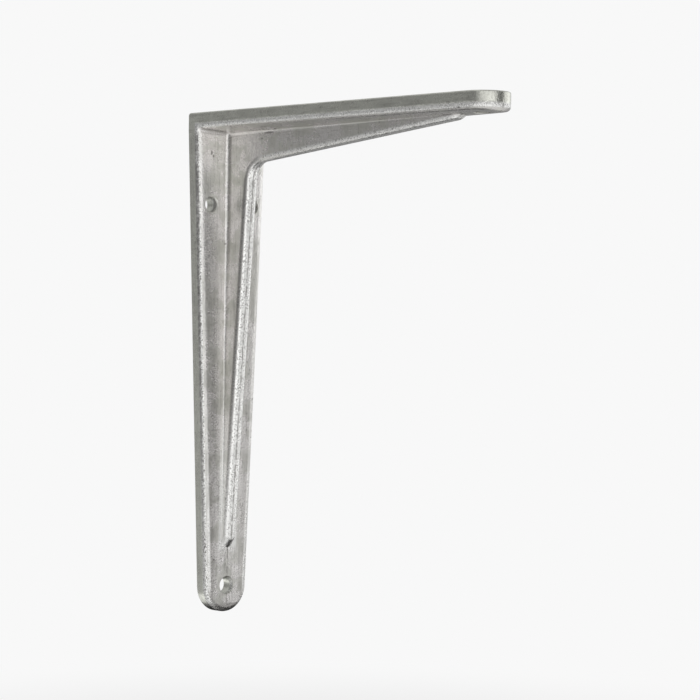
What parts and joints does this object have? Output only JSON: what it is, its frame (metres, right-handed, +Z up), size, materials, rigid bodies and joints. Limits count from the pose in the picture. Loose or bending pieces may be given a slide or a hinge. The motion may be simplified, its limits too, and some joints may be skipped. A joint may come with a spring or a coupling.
{
  "type": "heavy-duty shelf bracket",
  "caption": "Cast L-shaped shelf bracket: two tapered flanges with round ends, a low stiffening rib between them and plain screw holes for wall and shelf.",
  "frame": {"origin": "outer corner where the wall face meets the shelf face, on the middle plane", "axes": "+X out from the wall along the shelf arm, +Y across the bracket, +Z up"},
  "size_m": [0.2, 0.0446, 0.25],
  "materials": {
    "casting": "bare casting, satin to matte, with a fine cast grain"
  },
  "bodies": {
    "root": {"bracket": "casting"}
  },
  "joints": []
}
